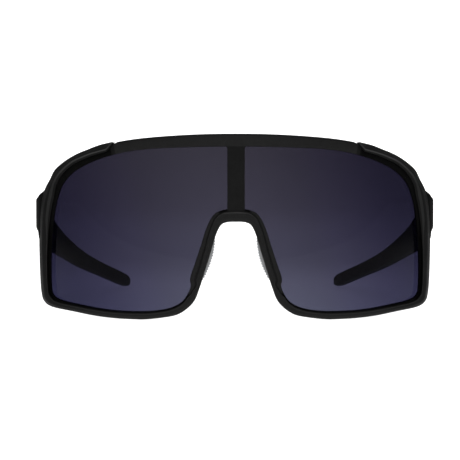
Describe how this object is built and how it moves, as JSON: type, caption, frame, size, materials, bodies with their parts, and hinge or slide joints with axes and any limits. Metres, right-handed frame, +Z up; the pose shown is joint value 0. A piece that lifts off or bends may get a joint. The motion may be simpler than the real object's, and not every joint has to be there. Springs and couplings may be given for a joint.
{
  "type": "wraparound sport sunglasses",
  "caption": "Wraparound sport sunglasses with a tinted shield lens in a full rim, a centre strut, ribbed nose pads and temples that fold inwards on screwed hinges.",
  "frame": {"origin": "middle of the footprint, on the surface that the glasses stand on", "axes": "the lens faces -Y and the temples run to +Y, +X is the wearer's left, +Z is up"},
  "size_m": [0.1472, 0.167, 0.0645],
  "materials": {
    "frame_black": "fine matte moulded nylon",
    "brow_black": "fine matte moulded nylon",
    "lens_smoke": "smoke and violet tinted, glossy",
    "nose_black": "matte",
    "pad_clear": "translucent soft rubber, ribbed",
    "temple_black": "fine matte moulded nylon",
    "sock_rubber": "soft matte",
    "hinge_steel": "brushed",
    "screw_steel": "turned",
    "washer_nylon": "natural nylon"
  },
  "bodies": {
    "front": {"front_frame": "frame_black", "brow_bar": "brow_black", "lens": "lens_smoke", "nose_carrier": "nose_black", "nose_pad_left": "pad_clear", "nose_pad_right": "pad_clear", "front_leaf_left": "hinge_steel", "front_leaf_right": "hinge_steel", "hinge_screw_left": "screw_steel", "hinge_screw_right": "screw_steel", "hinge_washers_left": "washer_nylon", "hinge_washers_right": "washer_nylon", "front_leaf_screws_left": "screw_steel", "front_leaf_screws_right": "screw_steel"},
    "left_arm": {"temple_left": "temple_black", "ear_sock_left": "sock_rubber", "temple_leaf_left": "hinge_steel", "temple_leaf_screws_left": "screw_steel"},
    "right_arm": {"temple_right": "temple_black", "ear_sock_right": "sock_rubber", "temple_leaf_right": "hinge_steel", "temple_leaf_screws_right": "screw_steel"}
  },
  "joints": [
    {"name": "left_temple_fold", "type": "hinge", "parent": "front", "child": "left_arm", "pos_m": [0.0697, -0.0375, 0.0358], "axis": [0, 0, 1], "range_deg": [0, 90]},
    {"name": "right_temple_fold", "type": "hinge", "parent": "front", "child": "right_arm", "pos_m": [-0.0697, -0.0375, 0.0358], "axis": [0, 0, -1], "range_deg": [0, 82]}
  ]
}
